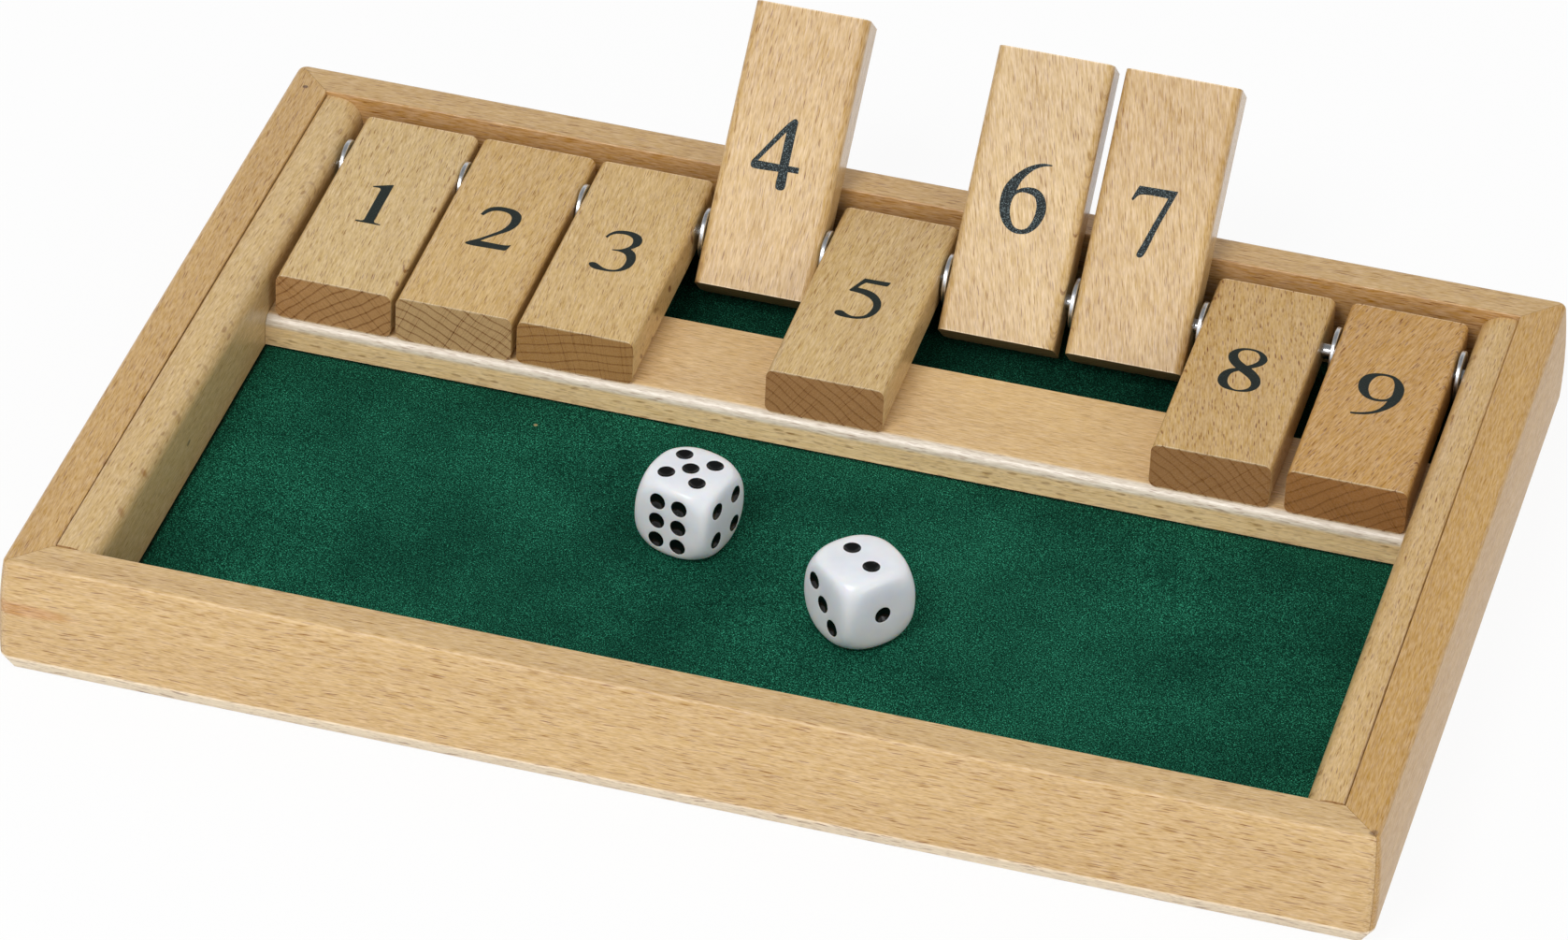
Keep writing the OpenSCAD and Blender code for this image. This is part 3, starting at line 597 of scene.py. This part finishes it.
def ink(name, ground, speck, share):
    """Matt ink, paler where a fine noise is high: on the undersides these bright specks are painted glints.
    """
    material, tree, shader = finish_named(name)
    place = add(tree, "TexCoord")
    speck_noise = add(tree, "TexNoise", {"Vector": place.outputs["Object"], "Scale": INK_SPECKS, "Detail": 1.0})
    specks = add(tree, "MapRange", {"Value": speck_noise, "From Min": 0.56, "From Max": 0.7, "To Max": share})
    tone = add(tree, "Mix", {0: specks, 6: srgb(ground), 7: srgb(speck)}, data_type="RGBA")
    bump = add(tree, "Bump", {"Height": speck_noise, "Strength": 0.4, "Distance": 0.03 * MM})
    wire(tree, shader, {"Base Color": tone.outputs[2], "Roughness": 0.6, "Specular IOR Level": 0.25,
                        "Normal": bump})
    return material


# The undersides' ink has bright specks: painted glints of the key lamp on the rough print
INKS = {"upper": ink("printing_ink", "#19221F", "#3E4A44", 0.5),
        "under": ink("printing_ink_with_painted_glints", "#101A1C", "#8C9FA4", 0.8)}

for k, loops in OUTLINES.items():
    points, faces = plate([smooth_loop(loop) for loop in loops])
    turn = np.array(tile_turn(k))
    for side, way in (("upper", 1), ("under", -1)):
        local = np.c_[points[:, 0], way * points[:, 1] - DIGIT_FROM_ROD, way * (points[:, 2] + HALF_TILE)]
        placed = (local @ turn.T + np.array(tile_rod(k))) * MM
        piece = new_object("digit_%d_%s" % (k, side), placed, faces, INKS[side])
        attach(piece, "tile_%d" % k)
print("digits made:", 2 * len(OUTLINES))

# %% [markdown]
# Felt is a sheet of matted wool without a weave, laid on the base board. It is a closed sheet here: a fine
# grid for its face, that rises and falls a little, and a flat back. Its colour is many fine hairs, some
# of which catch the light, over a deep green ground with cloudy patches where the nap was brushed.
# Painted shade darkens it along its rim, at the bar's foot and under the tiles.

# %% Felt
# Depth of the felt's slow waves and of its roughness, in mm, and the waves' lengths over 2 pi, in m
WAVE_DEPTH, ROUGH_DEPTH = 0.03, 0.07
WAVE_X, WAVE_Y = 17 * MM, 31 * MM


def felt_sheet(columns=225, rows=160):
    """The face is z = top - wave depth * (1 + sin(x / wave x + 2 sin(y / wave y))) / 2 - rough depth * noise,
    with noise from 0 to 1, and it is at the top along the edge. The back is flat, and a rim joins the two."""
    low, high = (np.array(corner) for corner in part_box("felt_sheet"))
    rng = np.random.default_rng(5)
    x, y = np.meshgrid(np.linspace(low[0], high[0], columns), np.linspace(low[1], high[1], rows),
                       indexing="ij")
    rough = rng.random((columns, rows))
    rough = (rough + np.roll(rough, 1, 0) + np.roll(rough, 1, 1)) / 3
    depth = WAVE_DEPTH * (1 + np.sin(x / WAVE_X + 2 * np.sin(y / WAVE_Y))) / 2 + ROUGH_DEPTH * rough
    depth[0], depth[-1], depth[:, 0], depth[:, -1] = 0, 0, 0, 0
    face = np.stack([x, y, high[2] - depth * MM], 2).reshape(-1, 3)
    index = np.arange(columns * rows).reshape(columns, rows)
    quads = np.stack([index[:-1, :-1], index[1:, :-1], index[1:, 1:], index[:-1, 1:]], 2).reshape(-1, 4)
    rim = np.concatenate([index[:-1, 0], index[-1, :-1], index[:0:-1, -1], index[0, :0:-1]])
    back = face[rim] * (1, 1, 0) + (0, 0, low[2])
    below = columns * rows + np.arange(len(rim))
    walls = np.c_[rim, below, np.roll(below, -1), np.roll(rim, -1)]
    centre = columns * rows + len(rim)
    fan = np.c_[np.full(len(rim), centre), np.roll(below, -1), below]
    points = np.vstack([face, back, [(low + high) / 2 * (1, 1, 0) + (0, 0, low[2])]])
    return points, quads.tolist() + walls.tolist() + fan.tolist()


wool, tree, shader = finish_named("wool_felt")
place = add(tree, "TexCoord")
# Tufts of hairs catch the light, and the ground is dark between them. A single hair is too fine to show,
# so a tuft is drawn a quarter of a mm wide. The brushed clouds are 45 a metre, each as wide as a thumb
TUFT, CLOUDS = 0.25 * MM, 45.0
hair_at = add(tree, "Mapping", {"Vector": place.outputs["Object"], "Rotation": (0, 0, 0.5),
              "Scale": (1 / TUFT, 0.85 / TUFT, 1 / TUFT)})
hairs = add(tree, "TexNoise", {"Vector": hair_at, "Scale": 1.0, "Detail": 2.0, "Roughness": 0.8})
clouds = add(tree, "TexNoise", {"Vector": place.outputs["Object"], "Scale": CLOUDS, "Detail": 4.0,
             "Roughness": 0.6})
ground = add(tree, "Mix", {0: clouds, 6: srgb("#022A20"), 7: srgb("#12553F")}, data_type="RGBA")
shade = add(tree, "MapRange", {"Value": hairs, "From Min": 0.34, "From Max": 0.54, "To Min": 0.2})
# Painted shade: along its rim and at the bar's foot, where the walls shade it, the felt is darkened, and it
# is darker under the tiles, in their shade. The first two values are the reach of that in m and the share of
# light left, and the others are places along Y
PAINTED_SHADE_REACH, PAINTED_SHADE_LEFT = 1.2 * MM, 0.15
TILES_SHADE_FROM, TILES_SHADE_TO = 44 * MM, 52 * MM
# Half the sheet's length and width, in m
HALF_SHEET = Vector((0.1121, 0.0794, 0))
from_middle = add(tree, "VectorMath", {0: place.outputs["Object"]}, operation="ABSOLUTE")
to_rim = add(tree, "VectorMath", {0: HALF_SHEET, 1: from_middle}, operation="SUBTRACT")
to_rim = add(tree, "SeparateXYZ", {0: to_rim})
to_rim = add(tree, "Math", {0: to_rim.outputs[0], 1: to_rim.outputs[1]}, operation="MINIMUM")
along = add(tree, "SeparateXYZ", {0: place.outputs["Object"]}).outputs["Y"]
to_bar = add(tree, "Math", {0: along, 1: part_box("rest_bar")[0].y}, operation="SUBTRACT")
to_bar = add(tree, "Math", {0: to_bar}, operation="ABSOLUTE")
to_edge = add(tree, "Math", {0: to_rim, 1: to_bar}, operation="MINIMUM")
# Painted shade along the rim and at the bar's foot, and under the tiles
lowered = add(tree, "MapRange", {"Value": to_edge, "From Max": PAINTED_SHADE_REACH, "To Min": PAINTED_SHADE_LEFT},
              interpolation_type="SMOOTHSTEP")
under = add(tree, "MapRange", {"Value": along, "From Min": TILES_SHADE_FROM, "From Max": TILES_SHADE_TO,
            "To Min": 1.0, "To Max": 0.5})
lowered = add(tree, "Math", {0: lowered, 1: under}, operation="MULTIPLY")
shade = add(tree, "Math", {0: shade, 1: lowered}, operation="MULTIPLY")
ground = add(tree, "VectorMath", {0: ground.outputs[2], "Scale": shade}, operation="SCALE")
lit = add(tree, "MapRange", {"Value": hairs, "From Min": 0.5, "From Max": 0.72})
lit = add(tree, "Math", {0: lit, 1: 1.6}, operation="POWER")
brushed = add(tree, "MapRange", {"Value": clouds, "From Min": 0.35, "From Max": 0.65, "To Min": 0.65,
              "To Max": 1.4})
lit = add(tree, "Math", {0: lit, 1: brushed}, operation="MULTIPLY")
lit = add(tree, "Math", {0: lit, 1: lowered}, operation="MULTIPLY")
tuft = add(tree, "Mix", {0: lit, 6: ground, 7: srgb("#46B48E")}, data_type="RGBA")
# A bit of lint lies on it
LINT, LINT_SIZE = Vector((-55.3, 10.1, 5.6)) * MM, 0.5 * MM
lint = add(tree, "VectorMath", {0: place.outputs["Object"], 1: LINT}, operation="DISTANCE")
lint = add(tree, "MapRange", {"Value": lint.outputs["Value"], "From Min": LINT_SIZE,
           "From Max": 0.4 * LINT_SIZE})
tuft = add(tree, "Mix", {0: lint, 6: tuft.outputs[2], 7: srgb("#A8946A")}, data_type="RGBA")
bump = add(tree, "Bump", {"Height": hairs, "Strength": 1.0, "Distance": 0.15 * MM})
wire(tree, shader, {"Base Color": tuft.outputs[2], "Roughness": 0.95, "Specular IOR Level": 0.05,
                    "Normal": bump})
felt_points, felt_faces = felt_sheet()
felt = new_object("felt", felt_points, felt_faces, wool, smooth=True)
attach(felt, "tray")
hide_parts("felt_sheet")
print("felt faces:", len(felt_faces))

# %% [markdown]
# The rod is drawn steel and the washers are stamped steel with a bright zinc coat. Metals differ mainly in
# their tint and their roughness, and neither is quite even here: a fine noise stands for handling and wear,
# so the eye gets soft highlights that break up a little.

# %% Rod and washers
def bright_metal(name, code, roughness, spots):
    """Metal whose fine uneven polish is a noise of that many spots a mm: it moves tint and roughness."""
    material, tree, shader = finish_named(name)
    place = add(tree, "TexCoord")
    worn = add(tree, "TexNoise", {"Vector": place.outputs["Object"], "Scale": spots / MM,
               "Detail": 3.0})
    tint = add(tree, "MapRange", {"Value": worn, "To Min": 0.85, "To Max": 1.1})
    colour = add(tree, "VectorMath", {0: srgb(code)[:3], "Scale": tint}, operation="SCALE")
    rough = add(tree, "MapRange", {"Value": worn, "To Min": roughness * 0.7, "To Max": roughness * 1.3})
    bump = add(tree, "Bump", {"Height": worn, "Strength": 0.3, "Distance": 0.02 * MM})
    wire(tree, shader, {"Base Color": colour, "Roughness": rough, "Metallic": 1.0, "Normal": bump})
    return material


dress("pivot_rod", bright_metal("drawn_steel", "#C4C6C8", 0.25, 0.9))
zinc = bright_metal("bright_zinc_plate", "#D8DBDF", 0.3, 1.2)
for k in range(1, 11):
    dress("washer_%d" % k, zinc)
print("metal finishes set")

# %% [markdown]
# The dice are moulded in white plastic and then tumbled in a drum, so their faces meet in soft ridges and
# their corners are round. Their pips are drilled hollows filled with glossy black paint. A cube with bevels
# shows its facets, so each die here is one smooth surface: a rounded cube whose formula melts a cube into
# a ball, with hollows pressed in where the pips are.

# %% Dice
# Half a die's side and the ball that rounds its corners, in mm, and the power that sets how sharply its
# faces meet. Then a pip's radius and depth, its way from the middle, and the six's columns and rows, in mm
DIE_HALF, DIE_BALL, DIE_POWER = 8.0, 10.9, 16
PIP_R, PIP_DEPTH, PIP_STEP, SIX_COLUMN, SIX_ROW = 1.65, 0.8, 3.3, 2.3, 4.3


def pip_places(n):
    """Places of n pips on a face, in mm from its middle."""
    if n == 6:
        return [(u * SIX_COLUMN, v * SIX_ROW) for u in (-1, 1) for v in (-1, 0, 1)]
    odd = [(0, 0)] if n % 2 else []
    if n > 3:
        return odd + [(u * PIP_STEP, v * PIP_STEP) for u in (-1, 1) for v in (-1, 1)]
    return odd + {1: [], 2: [(-PIP_STEP, 0), (PIP_STEP, 0)],
                  3: [(-PIP_STEP, PIP_STEP), (PIP_STEP, -PIP_STEP)]}[n]


def rotation(about_x, about_z):
    """A turn about X and then about Z, in degrees, as a 3 x 3 array."""
    x_turn = Matrix.Rotation(math.radians(about_x), 3, "X")
    z_turn = Matrix.Rotation(math.radians(about_z), 3, "Z")
    return np.array(z_turn @ x_turn)


def die_surface(top, front, right, cells=80):
    """Six square grids on a cube, blown out to the surface: a point in direction d lies at
    d * (sum (|d_i| / half) ** n + (|d| / ball) ** n) ** (-1 / n), which is a cube of half size half, cut by
    a ball, with soft ridges. A pip lowers it by depth * (1 - (distance / radius) ** 2)."""
    way = np.tan(np.linspace(-1, 1, cells + 1) * math.pi / 4)
    u, v = np.meshgrid(way, way, indexing="ij")
    index = np.arange(u.size).reshape(u.shape)
    quads = np.stack([index[:-1, :-1], index[1:, :-1], index[1:, 1:], index[:-1, 1:]], 2).reshape(-1, 4)
    ray = np.stack([u, v, np.ones_like(u)], 2).reshape(-1, 3)
    n = DIE_POWER
    cube = np.sum(np.abs(ray / DIE_HALF) ** n, 1)
    ball = (np.linalg.norm(ray, axis=1) / DIE_BALL) ** n
    shell = ray * ((cube + ball) ** (-1 / n))[:, None]
    points, faces, marks = [], [], []
    sides = ((top, 0, 0), (7 - top, 180, 0), (front, 90, 0), (7 - front, 90, 180), (right, 90, 90),
             (7 - right, 90, 270))
    for side, (count, about_x, about_z) in enumerate(sides):
        away = np.min([np.hypot(shell[:, 0] - x, shell[:, 1] - y) for x, y in pip_places(count)], 0)
        lowered = shell.copy()
        lowered[:, 2] -= PIP_DEPTH * np.clip(1 - (away / PIP_R) ** 2, 0, 1)
        points.append(lowered @ rotation(about_x, about_z).T)
        faces.append(quads + side * u.size)
        marks.append(1 - away / PIP_R)
    return np.vstack(points), np.vstack(faces), np.concatenate(marks)


acrylic, tree, shader = finish_named("moulded_white_plastic")
pip = add(tree, "Attribute", attribute_name="pip")
pip = add(tree, "MapRange", {"Value": pip.outputs["Fac"], "From Min": -0.02, "From Max": 0.02})
place = add(tree, "TexCoord")
# Spots a mm in the plastic's cloudiness, and in the paint that dried unevenly in the pips
CLOUDY, DRIED = 0.26, 2.6
cloud = add(tree, "TexNoise", {"Vector": place.outputs["Object"], "Scale": CLOUDY / MM, "Detail": 2.0})
white = add(tree, "Mix", {0: cloud, 6: srgb("#DCDFE6"), 7: srgb("#ECEDF1")}, data_type="RGBA")
colour = add(tree, "Mix", {0: pip, 6: white.outputs[2], 7: srgb("#070808")}, data_type="RGBA")
rough = add(tree, "MapRange", {"Value": pip, "To Min": 0.28, "To Max": 0.08})
drops = add(tree, "TexNoise", {"Vector": place.outputs["Object"], "Scale": DRIED / MM, "Detail": 1.0})
drops = add(tree, "Math", {0: drops, 1: pip}, operation="MULTIPLY")
bump = add(tree, "Bump", {"Height": drops, "Strength": 0.5, "Distance": 0.06 * MM})
# Light goes a few millimetres into the plastic, blue light the farthest, and brightens its shaded sides
depth_light = add(tree, "MapRange", {"Value": pip, "To Min": 0.85, "To Max": 0.0})
shine = add(tree, "MapRange", {"Value": pip, "To Min": 0.5, "To Max": 0.3})
wire(tree, shader, {"Base Color": colour.outputs[2], "Roughness": rough, "IOR": 1.49, "Normal": bump,
                    "Subsurface Weight": depth_light, "Subsurface Radius": (0.7, 1.0, 1.3),
                    "Subsurface Scale": 4 * MM, "Specular IOR Level": shine})

# Each die's turn on the felt in degrees, and its numbers on the top, the front and the right
for name, turn, numbers in (("left_die", -15, (5, 6, 4)), ("right_die", -43, (2, 3, 1))):
    points, faces, marks = die_surface(*numbers)
    placed = points @ rotation(0, turn).T + np.array(middle(name))
    die = new_object(name + "_tumbled", placed * MM, faces.tolist(), acrylic, smooth=True)
    mesh = die.data
    mesh.attributes.new("pip", "FLOAT", "POINT").data.foreach_set("value", marks.astype(np.float32))
    # The six grids meet along their edges, so points that lie in one place are joined
    joined = bmesh.new()
    joined.from_mesh(mesh)
    bmesh.ops.remove_doubles(joined, verts=joined.verts, dist=1e-7)
    joined.to_mesh(mesh)
    joined.free()
    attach(die, name)
    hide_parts(name)
    print(name, "middle in mm:", [round(v, 2) for v in middle(name)], "faces:", len(mesh.polygons))
